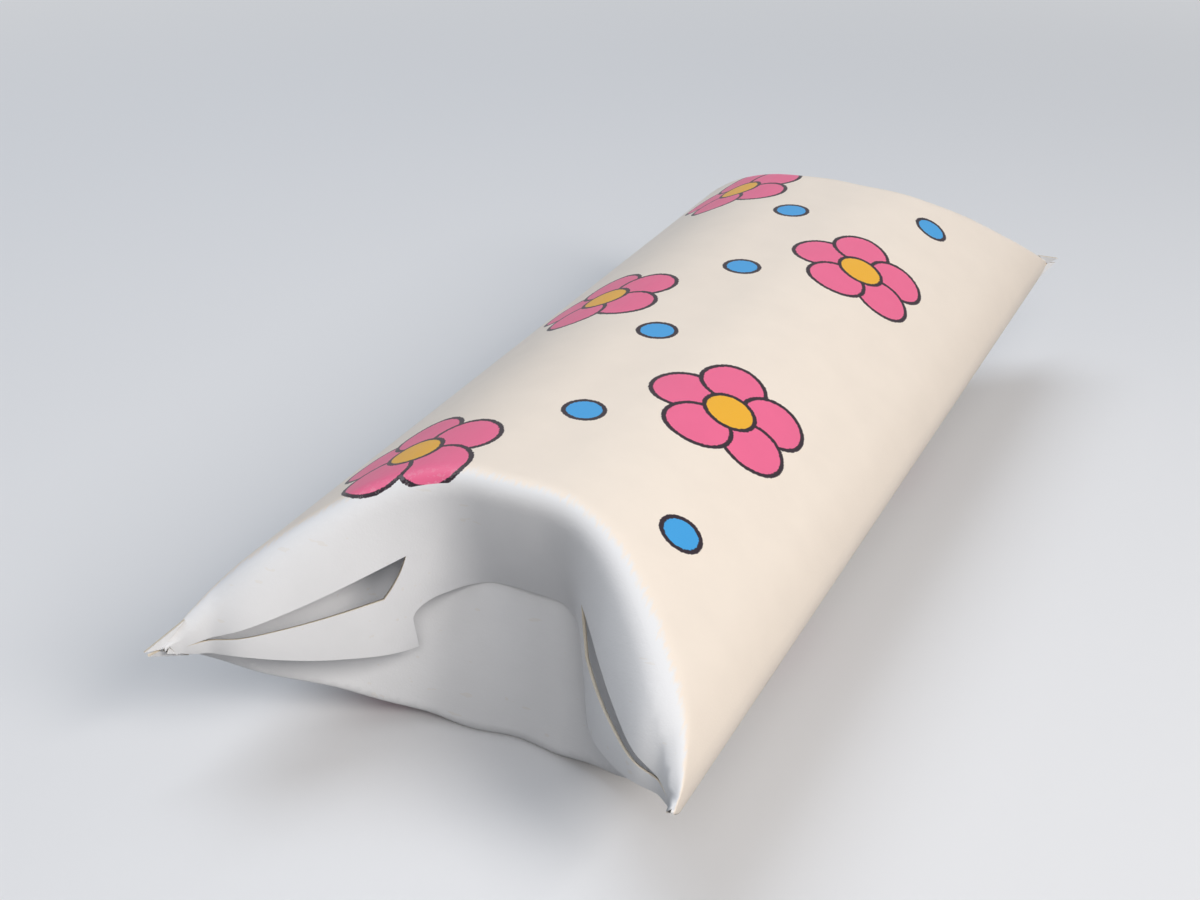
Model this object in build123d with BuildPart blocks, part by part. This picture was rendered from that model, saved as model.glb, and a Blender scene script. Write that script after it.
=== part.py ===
from build123d import *
from itertools import pairwise
import math
import os

# Pillow box of folded card: two arched panels glued into a tube, and a pair of flaps at each end.
# Frame: X across the box, Y along it with the front end at -Y, Z up from the flat it rests on.
# All lengths are in millimetres.

# Box
box_width = 70.0            # between the two side creases
box_length = 182.0          # between the tips at the two ends
box_height = 39.0           # from the belly to the crown when it is popped open
end_recess = 26.0           # how far the curved end crease dips in from its tips
crown_flat = 8.0            # flat strip along the middle of each panel, where it rests
card = 0.45                 # thickness of the card
cut_overrun = 5.0           # how far every cut runs past what it cuts

# Arch of a panel: where its tangent arcs meet, from the flat strip's edge to the side crease
arch_run_shares = (0, 0.516, 0.8345, 1)
arch_rise_shares = (1, 0.777, 0.408, 0)
crease_steps = 16           # points of the curved end crease on each side of the flat strip

crease_gap = 0.15           # between a panel's end and the outer flap that folds from it

# Outer flap, station by station along the crease from the flat strip's edge outwards.
# The run is how far the toe stands out past the crease, and the level is the toe's height
# from the side creases, towards the panel that the flap folds from.
outer_station_shares = (0, 0.12, 0.24, 0.37, 0.51, 0.66, 0.79, 0.91)
outer_run_shares = (-0.27, -0.14, 0.086, 0.278, 0.353, 0.319, 0.203, 0.037)
outer_level_shares = (-0.40, -0.40, -0.357, -0.26, -0.173, -0.105, -0.105, -0.09)

# Inner flap, a bent-up run of card that leans into the box behind the outer flap
inner_gap = 0.5             # between the lower panel's end and the flap
inner_lean_share = 0.31     # how far it leans in for its rise
inner_reach_share = 0.79    # how far along the crease it reaches from the flat strip
inner_toe_middle = 8.4      # its toe above the side creases, in the middle
inner_toe_side = 2.0        # and at its sides

# Thumb notch in the outer flap, with heights from the side creases
notch_width = 24.6
notch_shoulder = 0.0        # where the notch's top edge meets its corners
notch_crown = 1.2           # the middle of the notch's top edge
notch_corner = 2.6

# Slit at each side of the notch, with heights from the side creases
slit_gap = 0.1              # from the notch's side out to the slit's high end
slit_heel = 1.9             # from the high end out to the low corner
slit_margin = 1.3           # from the slit's point to the flap's end
slit_high = 7.4
slit_low = 1.3
slit_point = -0.5
slit_sag = 0.9              # how far the long upper edge sags towards the low one
slit_bow = 0.5              # how far the short edge bows away from the notch

# Glue tab, folded inwards from the left side of the lower panel
tab_width = 12.0
tab_length = 152.0
tab_taper = 10.0            # how much each end of the tab slopes back
glue_film = 0.15            # thickness of the glue between the tab and the upper panel
glue_margin = 1.5           # from the tab's edges to the glue

half_width = box_width / 2
half_length = box_length / 2
half_height = box_height / 2
half_flat = crown_flat / 2
half_notch = notch_width / 2
seam_plane = Plane.XY.offset(half_height)
section_plane = Plane(origin=(0, 0, half_height), x_dir=(1, 0, 0), z_dir=(0, -1, 0))

os.makedirs("parts", exist_ok=True)


def tangent_arcs(joints):
    """Chain of arcs through its joints, level where it starts, and its direction at each joint."""
    directions = [Vector(1, 0)]
    with BuildLine() as chain:
        for start, finish in pairwise(joints):
            arc = TangentArc(start, finish, tangent=directions[-1])
            directions.append(arc % 1)
    return chain.wire(), directions


def arch(inset=0, rise=half_height):
    """Right half of the arch of a layer set in from the panel's face, without its flat strip."""
    run = half_width - half_flat
    joints = []
    for across, up in zip(arch_run_shares, arch_rise_shares):
        joints.append(Vector(half_flat + run * across, rise * up))
    curve, directions = tangent_arcs(joints)
    if inset:
        layer = [joint + Vector(way.Y, -way.X) * inset for joint, way in zip(joints, directions)]
        layer[-1] = Vector(half_width + inset / directions[-1].Y, 0)
        curve, directions = tangent_arcs(layer)
    return curve


def recess(rise):
    """How far the crease has come in from the tips where the arch has risen this much."""
    return end_recess * rise / half_height


def arched_layer(outer_inset, inner_inset, rise=half_height, plane=section_plane):
    """Section of a layer of card that follows the arch, by default the upper one."""
    outer = arch(outer_inset, rise)
    inner = arch(inner_inset, rise)
    with BuildSketch(plane) as layer:
        with BuildLine():
            add(outer)
            Line(outer @ 1, inner @ 1)
            add(inner)
            Polyline(inner @ 0, (0, (inner @ 0).Y), (0, (outer @ 0).Y), outer @ 0)
        make_face()
        mirror(about=Plane.YZ)
    return layer.sketch


def end_bite():
    """What the curved crease takes out of a panel's front end, seen from above."""
    curve = arch()
    points = []
    for step in range(crease_steps + 1):
        point = curve @ (step / crease_steps)
        points.append((point.X, recess(point.Y) - half_length))
    beyond = -half_length - cut_overrun
    with BuildSketch(seam_plane) as bite:
        with BuildLine():
            Spline(*points)
            Polyline(points[-1], (half_width, beyond), (0, beyond), (0, points[0][1]), points[0])
        make_face()
        mirror(about=Plane.YZ)
    return bite.sketch


def upper_panel():
    """Arched panel above the side creases, with a curved crease at each end."""
    bite = end_bite()
    with BuildPart() as arched:
        extrude(arched_layer(0, card), amount=half_length, both=True)
        for taken in (bite, bite.mirror(Plane.XZ)):
            extrude(taken, amount=half_height + cut_overrun, both=True, mode=Mode.SUBTRACT)
    return arched.part


def side_strip(outer_inset, inner_inset, margin):
    """Layer of card or glue inside the upper panel, along its left side."""
    near = margin - half_width
    far = tab_width - margin - half_width
    end = tab_length / 2 - margin
    corners = [(near, -end), (far, tab_taper - end), (far, end - tab_taper), (near, end)]
    with BuildSketch(seam_plane) as outline:
        Polygon(*corners, align=None)
    with BuildPart() as strip:
        extrude(arched_layer(outer_inset, inner_inset), amount=half_length, both=True)
        extrude(outline.sketch, amount=half_height, mode=Mode.INTERSECT)
    return strip.part


def outer_stations():
    """The outer flap at each station: across, its crease out and up, its toe out and up."""
    curve = arch()
    half = []
    for share, run, level in zip(outer_station_shares, outer_run_shares, outer_level_shares):
        point = curve @ share
        way = curve % share
        clear = crease_gap * math.hypot(1, recess(way.Y / way.X))
        out = half_length - recess(point.Y) + clear
        half.append((point.X, out, point.Y, out + end_recess * run, half_height * level))
    left = [(-across, *rest) for across, *rest in reversed(half)]
    return [*left, (0, *half[0][1:]), *half]


def slope(stations, index, column):
    """How fast a column of the stations changes across the flap."""
    before = stations[max(index - 1, 0)]
    after = stations[min(index + 1, len(stations) - 1)]
    return (after[column] - before[column]) / (after[0] - before[0])


def uncut_flap(end):
    """The outer flap before its cuts, lofted through a thin section of the card at each station."""
    stations = outer_stations()
    with BuildPart() as curved:
        for index, (across, crease, top, toe, level) in enumerate(stations):
            lean = (toe - crease) / (top - level)
            thick_crease = card * math.hypot(1, lean, slope(stations, index, 1))
            thick_toe = card * math.hypot(1, lean, slope(stations, index, 3))
            corners = [
                (end * crease, half_height + top),
                (end * (crease + thick_crease), half_height + top),
                (end * (toe + thick_toe), half_height + level),
                (end * toe, half_height + level),
            ]
            with BuildSketch(Plane.YZ.offset(across)):
                Polygon(*corners, align=None)
        loft()
    return curved.part


def notch_outline():
    """Thumb notch seen from the end, open towards the flap's toe."""
    foot = -half_height - cut_overrun
    bend = notch_shoulder - notch_corner
    flat = half_notch - notch_corner
    with BuildSketch(section_plane) as notch:
        with BuildLine():
            ThreePointArc((-flat, notch_shoulder), (0, notch_crown), (flat, notch_shoulder))
            RadiusArc((flat, notch_shoulder), (half_notch, bend), notch_corner)
            Polyline((half_notch, bend), (half_notch, foot), (-half_notch, foot), (-half_notch, bend))
            RadiusArc((-half_notch, bend), (-flat, notch_shoulder), notch_corner)
        make_face()
    return notch.sketch


def slit_outline():
    """Wedge-shaped slits beside the notch, seen from the end."""
    flap_end = (arch() @ outer_station_shares[-1]).X
    high = (half_notch + slit_gap, slit_high)
    low = (high[0] + slit_heel, slit_low)
    point = (flap_end - slit_margin, slit_point)
    sag = ((high[0] + point[0]) / 2, (slit_high + slit_point) / 2 - slit_sag)
    bow = ((high[0] + low[0]) / 2 + slit_bow, (slit_high + slit_low) / 2)
    with BuildSketch(section_plane) as slits:
        with BuildLine():
            ThreePointArc(high, sag, point)
            Line(point, low)
            ThreePointArc(low, bow, high)
        make_face()
        mirror(about=Plane.YZ)
    return slits.sketch


def outer_flap(end):
    """Flap that folds down from the upper panel, with its thumb notch and slits."""
    with BuildPart() as curved:
        add(uncut_flap(end))
        for outline in (notch_outline(), slit_outline()):
            extrude(outline, amount=-end * box_length, mode=Mode.SUBTRACT)
    return curved.part


def inner_outline():
    """Inner flap seen from the end, between the lower panel's face and its own curved toe."""
    reach = (arch() @ inner_reach_share).X
    foot = -half_height
    face = arch().mirror(Plane.XZ)
    with BuildSketch(section_plane) as outline:
        with BuildLine():
            ThreePointArc((-reach, inner_toe_side), (0, inner_toe_middle), (reach, inner_toe_side))
            Polyline((reach, inner_toe_side), (reach, foot), (-reach, foot), (-reach, inner_toe_side))
        make_face()
        with BuildSketch(mode=Mode.INTERSECT):
            with BuildLine():
                add(face)
                Polyline(face @ 1, (half_width, half_height), (0, half_height), (0, foot), face @ 0)
            make_face()
            mirror(about=Plane.YZ)
    return outline.sketch


def inner_flap(end):
    """Plain flap that folds up from the lower panel, behind the outer one."""
    lean = Vector(0, -end * inner_lean_share, 1)
    stretched = (end_recess + inner_lean_share * half_height) / lean.length
    tips = Plane((0, end * (half_length + inner_gap), half_height), x_dir=(-end, 0, 0), z_dir=lean)
    with BuildPart() as curved:
        extrude(arched_layer(0, card, stretched, tips), amount=box_height, both=True)
        extrude(inner_outline(), amount=-end * box_length, mode=Mode.INTERSECT)
    return curved.part


glue_start = card + glue_film
top_panel = upper_panel()
pieces = {
    "top_panel": top_panel,
    "bottom_panel": top_panel.mirror(seam_plane),
    "glue_tab": side_strip(glue_start, glue_start + card, 0),
    "seam_glue": side_strip(card, glue_start, glue_margin),
    "front_outer_flap": outer_flap(-1),
    "front_inner_flap": inner_flap(-1),
    "rear_outer_flap": outer_flap(1),
    "rear_inner_flap": inner_flap(1),
}
for name, piece in pieces.items():
    piece.label = name
    export_step(piece, f"parts/{name}.step")
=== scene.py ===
import math

import bmesh
import bpy
import numpy as np
from mathutils import Matrix, Vector, geometry


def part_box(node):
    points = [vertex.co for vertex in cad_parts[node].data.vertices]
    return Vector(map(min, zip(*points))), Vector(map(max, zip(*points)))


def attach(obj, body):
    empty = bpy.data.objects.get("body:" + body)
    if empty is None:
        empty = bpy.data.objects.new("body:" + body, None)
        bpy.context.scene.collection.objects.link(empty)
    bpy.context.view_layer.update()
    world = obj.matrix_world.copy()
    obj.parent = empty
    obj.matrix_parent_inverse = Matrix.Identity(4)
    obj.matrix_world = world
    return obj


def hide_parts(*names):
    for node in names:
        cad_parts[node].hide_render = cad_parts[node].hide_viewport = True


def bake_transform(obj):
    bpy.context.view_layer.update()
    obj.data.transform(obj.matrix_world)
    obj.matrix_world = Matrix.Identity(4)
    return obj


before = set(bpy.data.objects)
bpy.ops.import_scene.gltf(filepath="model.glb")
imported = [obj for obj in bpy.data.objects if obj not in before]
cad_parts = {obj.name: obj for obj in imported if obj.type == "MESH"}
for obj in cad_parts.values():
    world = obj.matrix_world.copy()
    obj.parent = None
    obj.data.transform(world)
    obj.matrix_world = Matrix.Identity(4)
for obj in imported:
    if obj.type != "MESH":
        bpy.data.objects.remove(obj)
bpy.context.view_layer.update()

bl_info = {
    "name": "Pillow Box",
    "version": (1, 0, 0),
    "blender": (4, 5, 0),
    "location": "View3D > Sidebar > Pillow Box",
    "description": "Builds a printed pillow box of folded card around its packed model",
    "category": "Add Mesh",
}

MM = 0.001
FRONT, REAR = -1, 1
UPPER, LOWER = 1, -1
LEFT, RIGHT = -1, 1

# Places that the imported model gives
PANEL_LOW, PANEL_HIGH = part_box("top_panel")
HALF_WIDTH = PANEL_HIGH.x
HALF_LENGTH = PANEL_HIGH.y
HALF_HEIGHT = PANEL_HIGH.z - PANEL_LOW.z
SIDE_LEVEL = PANEL_LOW.z

# Arch of a panel: where its tangent arcs meet, from the flat strip's edge to the side crease
ARCH_RUN_SHARES = (0, 0.516, 0.8345, 1)
ARCH_RISE_SHARES = (1, 0.777, 0.408, 0)

# Flaps, station by station from the flat strip's edge outwards: how far the toe stands out past
# the crease, its level towards the flap's own panel, and how far the middle bulges
OUTER_STATIONS = (0, 0.12, 0.24, 0.37, 0.51, 0.66, 0.79, 0.91, 0.96)
OUTER_RUNS = (-0.463, -0.324, 0.05, 0.265, 0.33, 0.297, 0.16, 0.05, 0.0)
OUTER_LEVELS = (-0.40, -0.40, -0.37, -0.26, -0.173, -0.105, -0.105, -0.09, -0.07)
OUTER_BULGES = (0.15, 0.13, 0.085, 0.085, 0.095, 0.09, 0.06, 0.03, 0.0)
INNER_STATIONS = (0, 0.24, 0.51, 0.79, 0.9)
INNER_RUNS = (-0.333, -0.312, -0.236, -0.093, -0.03)
INNER_LEVELS = (-0.43, -0.41, -0.32, -0.12, -0.02)
INNER_BULGES = (0,) * len(INNER_STATIONS)
FLAP_TABLES = {
    UPPER: (OUTER_STATIONS, OUTER_RUNS, OUTER_LEVELS, OUTER_BULGES),
    LOWER: (INNER_STATIONS, INNER_RUNS, INNER_LEVELS, INNER_BULGES),
}

# Folds
LONGEST_BEND = 0.4  # share of a flap that its fold may take
LEAST_LENGTH = MM * MM  # of a flap that has next to none
STAND_FADE = 0.85  # share of the half width from which a fold stands out less
TUCK_START = 0.8  # and from which a flap tucks in beside its panel
PRESSED = 0.1  # share of the card's thickness that is left at the tips
PRESSED_RISE = 3.5 * MM  # rise over which the card gets its thickness back
TINY = 0.0001 * MM  # stands in where a direction or a rise would be 0
SIDE_WEAR = 0.12  # wear along the side creases, where the end folds have 1

# Small waves of the end creases
RIPPLES = {
    (FRONT, UPPER): 0.03 * MM, (FRONT, LOWER): 0.26 * MM,
    (REAR, UPPER): 0.2 * MM, (REAR, LOWER): 0.2 * MM,
}
RIPPLE_RUNS = (1.9 * MM, 3.1 * MM)  # run of the short and of the long waves for one radian
RIPPLE_PHASES = (1.3, 0.7)  # radians that the end and the side shift the waves by
RIPPLE_FADE = 0.8  # share of the half width from which the waves die away

# Slits of an outer flap, seen from the end, with heights from the side creases
SLIT_HIGH = (12.4 * MM, 7.6 * MM)
SLIT_LOW = (14.3 * MM, 1.9 * MM)
SLIT_POINT = (33.7 * MM, -0.55 * MM)
SLIT_SAG = 0.75 * MM  # how far the long upper edge sags towards the low one
SLIT_BOW = 0.25 * MM  # how far the short edge bows towards the notch

# Ears and webs at the tips
EAR_INSET = 0.35 * MM  # from the tip in to an ear's low corner
EAR_ROOT = 2.6 * MM  # height of an ear's root on the crease
EAR_SPREAD = 0.9 * MM  # how far a full ear stands out sideways
EAR_REACH = 2.0 * MM  # and along the box
EAR_GAP = 0.35 * MM  # from the side crease up or down to an ear's point
EAR_SHARES = {(FRONT, LEFT): 0.8, (FRONT, RIGHT): 0, (REAR, LEFT): 0.6, (REAR, RIGHT): 1.2}
EAR_SIDES = ((UPPER, 1.0), (LOWER, 0.75))
WEB_INSET = 0.15 * MM  # how far inside the flaps' faces a web lies
WEB_DROP = 0.3 * MM  # and how far below the flaps' toes

# Steps of the curves, and points of the meshes
ARC_STEPS = 120
FLAT_STEPS = 5
CREASE_POINTS = 64
ROLL_STEPS = 6
FOLD_STEPS = 12
SPLIT_ROW = 8  # row of the fold where the flap starts
SECTION_POINTS = 26
PANEL_ROWS = 44
NOTCH_TOP_POINTS = 24
NOTCH_CORNER_STEPS = 8
SLIT_UPPER_POINTS = 26
SLIT_UNDER_POINTS = 24
SLIT_SHORT_POINTS = 8
NET_ROWS = 0.866  # spacing of the net's rows, as a share of the mesh step
NET_CLEARANCE = 0.45  # and its least distance from an edge
MERGE_DISTANCE = 1e-6  # millimetres within which points are joined
LEAST_AREA = 1e-12  # double area of a triangle that is dropped
LEAST_SQUARE = 1e-18  # squared length of an edge that has none
FACE_SLOT, BACK_SLOT, EDGE_SLOT = 0, 1, 2
SHELL_LOOPS = ((0, 1, 2), (5, 4, 3), (0, 3, 4, 1), (1, 4, 5, 2), (2, 5, 3, 0))
SHELL_SLOTS = (BACK_SLOT, BACK_SLOT, EDGE_SLOT, EDGE_SLOT, EDGE_SLOT)

# Print, in millimetres of the flat sheet across and along from its middle
FLOWER_LEFT = (-17.2, -0.5)
FLOWER_RIGHT = (16.1, 28.3)
COLUMN_EDGE = -4.0  # left of it the left column's flowers are drawn
DOT_MIDDLES = ((-2.05, -14.0), (-0.15, 15.4))
DOT_SIDES = ((20.3, 57.3), (22.0, -58.5))
SIDE_DOT_PITCHES = 4  # flower pitches from a dot at the side to its repeat
PETAL_TURNS = (180, 108, 36, -36, -108)
DISC_SOFTNESS = 0.06
WOBBLE = 0.34  # how far the print's edges wander
WOBBLE_SCALE = 3.1
LOWER_PRINT_SHIFT = 1.5 * MM

# Scales of the noises, per metre, and of the print's streaks per millimetre
FIBRE_SCALE = 900.0
TOOTH_SCALE = 3800.0
WAVE_SCALE = 38.0
MOTTLE_SCALE = 160.0
CLOUD_SCALE = 120.0
FLECK_SCALE = 700.0
SPECK_SCALE = 1500.0
EDGE_SCALE = 2600.0
GLUE_SCALE = 240.0
FLOOR_SCALE = 6.0
STREAK_SCALE = 1.7

# How the noises are stretched, and how strongly they show
PRINTED_GRAIN = (1, 0.25, 1)
PLAIN_GRAIN = (0.2, 1, 1)
FLECK_GRAIN = (0.3, 1, 1)
GLUE_GRAIN = (1, 0.15, 1)
STREAK_GRAIN = (1, 0.22, 1)
FIBRE_HEIGHT = 0.5
TOOTH_HEIGHT = 0.35
WAVE_HEIGHT = 4.0
STREAK_SHARE = 0.9
BARE_START, BARE_END = 0.7, 1.12  # wear with streaks, where the print starts to go and is gone
SPECK_LEVEL, SPECK_SHARE = 0.56, 0.15
FLECK_LEVEL, FLECK_SHARE = 0.7, 0.2
COAT_ROUGHNESS = 0.35

# Stage, in metres, with the camera's places in millimetres
BACKDROP = (0.66, 0.67, 0.69, 1)
BACKDROP_NEAR = 0.2  # from the box's middle, where the floor starts to fade
BACKDROP_FAR = 0.55  # and from where only the backdrop is seen
FLOOR_BOUNCE = 0.25  # share of the floor's colour in its own light
FLOOR_REACH = 1.8
SKY_COLOUR, SKY_STRENGTH = (0.8, 0.89, 1.0, 1), 0.14
LIGHT_AIM = (0, 0, 0.02)
LIGHTS = (  # name, place, size, power and colour
    ("key_light", (0.60, -0.20, 0.48), 0.35, 3.5, (1.0, 0.945, 0.885)),
    ("sky_light", (-0.35, 0.15, 0.78), 0.6, 3.0, (0.87, 0.93, 1.0)),
    ("front_light", (0.30, -0.68, 0.56), 0.4, 2.5, (1.0, 0.97, 0.94)),
)
CAMERA_PLACE = (88.83, -227.41, 141.83)
CAMERA_AIM = (-8.93, -18.35, 19.5)
CAMERA_ROLL = 0.986  # degrees
CAMERA_LENS = 51.56
SENSOR_WIDTH = 36.0
CLIP_START = 0.01

# The curve between a colour as the eye reads it and its light
TOE_END, TOE_SLOPE = 0.04045, 12.92
CURVE_OFFSET, CURVE_SPAN, CURVE_POWER = 0.055, 1.055, 2.4


def tint(red, green, blue):
    """Linear colour of a colour given in 0 to 255 as the eye reads it."""
    return tuple(
        share / TOE_SLOPE if share <= TOE_END
        else ((share + CURVE_OFFSET) / CURVE_SPAN) ** CURVE_POWER
        for share in (red / 255, green / 255, blue / 255)
    )


class PillowBoxSizes(bpy.types.PropertyGroup):
    """Sizes of the card, its folds and its cuts."""

    card: bpy.props.FloatProperty(
        name="Card", description="Thickness of the card", default=0.45 * MM, unit="LENGTH", precision=5
    )
    end_recess: bpy.props.FloatProperty(
        name="End recess", description="How far the end crease dips in from its tips",
        default=26 * MM, unit="LENGTH",
    )
    crown_flat: bpy.props.FloatProperty(
        name="Crown flat", description="Width of the flat strip along a panel's middle",
        default=8 * MM, unit="LENGTH",
    )
    upper_softness: bpy.props.FloatProperty(
        name="Upper softness", description="How far each side of an upper end crease the card bends",
        default=3.6 * MM, unit="LENGTH",
    )
    lower_softness: bpy.props.FloatProperty(
        name="Lower softness", description="How far each side of a lower end crease the card bends",
        default=1.4 * MM, unit="LENGTH",
    )
    side_roll: bpy.props.FloatProperty(
        name="Side roll", description="How far from a side crease the card bends",
        default=2.0 * MM, unit="LENGTH",
    )
    crease_stand: bpy.props.FloatProperty(
        name="Crease stand", description="How far the folded card stands out past the panel",
        default=0.45 * MM, unit="LENGTH", precision=5,
    )
    tip_tuck: bpy.props.FloatProperty(
        name="Tip tuck", description="How far inside its panel's face a flap lies at its tips",
        default=0.95 * MM, unit="LENGTH", precision=5,
    )
    notch_width: bpy.props.FloatProperty(
        name="Notch width", description="Width of the thumb notch", default=24.6 * MM, unit="LENGTH"
    )
    notch_crown: bpy.props.FloatProperty(
        name="Notch crown", description="Top of the thumb notch above the side creases",
        default=1.2 * MM, unit="LENGTH", precision=4,
    )
    notch_corner: bpy.props.FloatProperty(
        name="Notch corner", description="Radius of the notch's corners", default=2.6 * MM, unit="LENGTH"
    )
    mesh_step: bpy.props.FloatProperty(
        name="Mesh step", description="Spacing of the points in a flap's mesh",
        default=0.8 * MM, unit="LENGTH", precision=4,
    )


class PillowBoxPrint(bpy.types.PropertyGroup):
    """Sizes and colours of the printed flowers and dots."""

    flower_pitch: bpy.props.FloatProperty(
        name="Flower pitch", description="Spacing of the flowers along the box",
        default=57.8 * MM, unit="LENGTH",
    )
    petal_reach: bpy.props.FloatProperty(
        name="Petal reach", description="From a flower's middle to a petal's middle",
        default=6.9 * MM, unit="LENGTH",
    )
    petal_radius: bpy.props.FloatProperty(
        name="Petal radius", description="Radius of a petal with its outline",
        default=5.15 * MM, unit="LENGTH",
    )
    heart_radius: bpy.props.FloatProperty(
        name="Heart radius", description="Radius of a flower's heart with its outline",
        default=4.1 * MM, unit="LENGTH",
    )
    dot_radius: bpy.props.FloatProperty(
        name="Dot radius", description="Radius of a dot with its outline", default=3.15 * MM, unit="LENGTH"
    )
    ink_width: bpy.props.FloatProperty(
        name="Ink width", description="Width of the dark outlines",
        default=0.68 * MM, unit="LENGTH", precision=5,
    )
    ground: bpy.props.FloatVectorProperty(
        name="Ground", description="Colour of the coated card", subtype="COLOR", default=tint(243, 231, 218)
    )
    petal: bpy.props.FloatVectorProperty(
        name="Petals", description="Colour of the petals", subtype="COLOR", default=tint(243, 110, 152)
    )
    heart: bpy.props.FloatVectorProperty(
        name="Heart", description="Colour of a flower's heart", subtype="COLOR", default=tint(240, 179, 48)
    )
    dot: bpy.props.FloatVectorProperty(
        name="Dots", description="Colour of the dots", subtype="COLOR", default=tint(66, 162, 226)
    )
    ink: bpy.props.FloatVectorProperty(
        name="Outlines", description="Colour of the outlines", subtype="COLOR", default=tint(38, 22, 34)
    )


class PillowBoxFinishes(bpy.types.PropertyGroup):
    """Colours of what isn't printed."""

    plain: bpy.props.FloatVectorProperty(
        name="Plain card", description="Colour of the uncoated card",
        subtype="COLOR", default=tint(233, 234, 237),
    )
    edge: bpy.props.FloatVectorProperty(
        name="Cut edge", description="Colour of the card's cut edges",
        subtype="COLOR", default=tint(222, 212, 196),
    )
    glue: bpy.props.FloatVectorProperty(
        name="Glue", description="Colour of the dried glue", subtype="COLOR", default=tint(222, 206, 168)
    )
    floor: bpy.props.FloatVectorProperty(
        name="Floor", description="Colour of the floor", subtype="COLOR", default=tint(232, 233, 236)
    )


# Shape of the folded card

def arc_chain(joints, steps):
    """Points along a chain of tangent arcs that starts level."""
    heading = np.array((1.0, 0.0))
    points = [np.array([joints[0]])]
    for start, finish in zip(joints[:-1], joints[1:]):
        chord = finish - start
        half_turn = math.atan2(
            heading[0] * chord[1] - heading[1] * chord[0], float(heading @ chord)
        )
        radius = np.linalg.norm(chord) / (2 * math.sin(half_turn))
        across = np.array((-heading[1], heading[0]))
        turn = 2 * half_turn * np.linspace(0, 1, steps + 1)[1:, None]
        points.append(start + radius * (np.sin(turn) * heading + (1 - np.cos(turn)) * across))
        heading = math.cos(2 * half_turn) * heading + math.sin(2 * half_turn) * across
    return np.concatenate(points)


def bend_points(start, corner, finish, t):
    """Curve from start to finish that is drawn towards a corner, at the places t from 0 to 1."""
    return (1 - t) ** 2 * start + 2 * t * (1 - t) * corner + t**2 * finish


def arc_points(start, middle, finish, count):
    """Gentle curve from start to finish past a middle point."""
    start, middle, finish = (np.array(p, float) for p in (start, middle, finish))
    pull = 2 * middle - (start + finish) / 2
    return bend_points(start, pull, finish, np.linspace(0, 1, count)[:, None])


def run_lengths(points):
    """Distance along a line of points, from its first."""
    return np.concatenate([[0], np.cumsum(np.linalg.norm(np.diff(points, axis=0), axis=1))])


def smooth_through(places, values, at):
    """Smooth curve through values, level where it starts, read at the given places."""
    places, values = np.array(places, float), np.array(values, float)
    slopes = np.gradient(values, places)
    slopes[0] = 0
    index = np.clip(np.searchsorted(places, at, side="right") - 1, 0, len(places) - 2)
    span = places[index + 1] - places[index]
    t = np.clip((at - places[index]) / span, 0, 1)
    return (
        values[index] * (2 * t**3 - 3 * t**2 + 1)
        + slopes[index] * span * (t**3 - 2 * t**2 + t)
        + values[index + 1] * (3 * t**2 - 2 * t**3)
        + slopes[index + 1] * span * (t**3 - t**2)
    )


def fade(value, start, end):
    """Smooth step from 0 at start to 1 at end."""
    t = np.clip((value - start) / (end - start), 0, 1)
    return t * t * (3 - 2 * t)


def unit(vectors):
    """Vectors of the same directions with a length of 1."""
    return vectors / np.linalg.norm(vectors, axis=-1, keepdims=True)


def both_sides(half, sign=-1):
    """Values from left to right, of values given from the middle outwards."""
    return np.concatenate([sign * half[:0:-1], half])


def rise_of(grid, side):
    """Height of points above the side creases, counted towards a side's own panel."""
    return side * (grid[..., 2] - SIDE_LEVEL)


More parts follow.
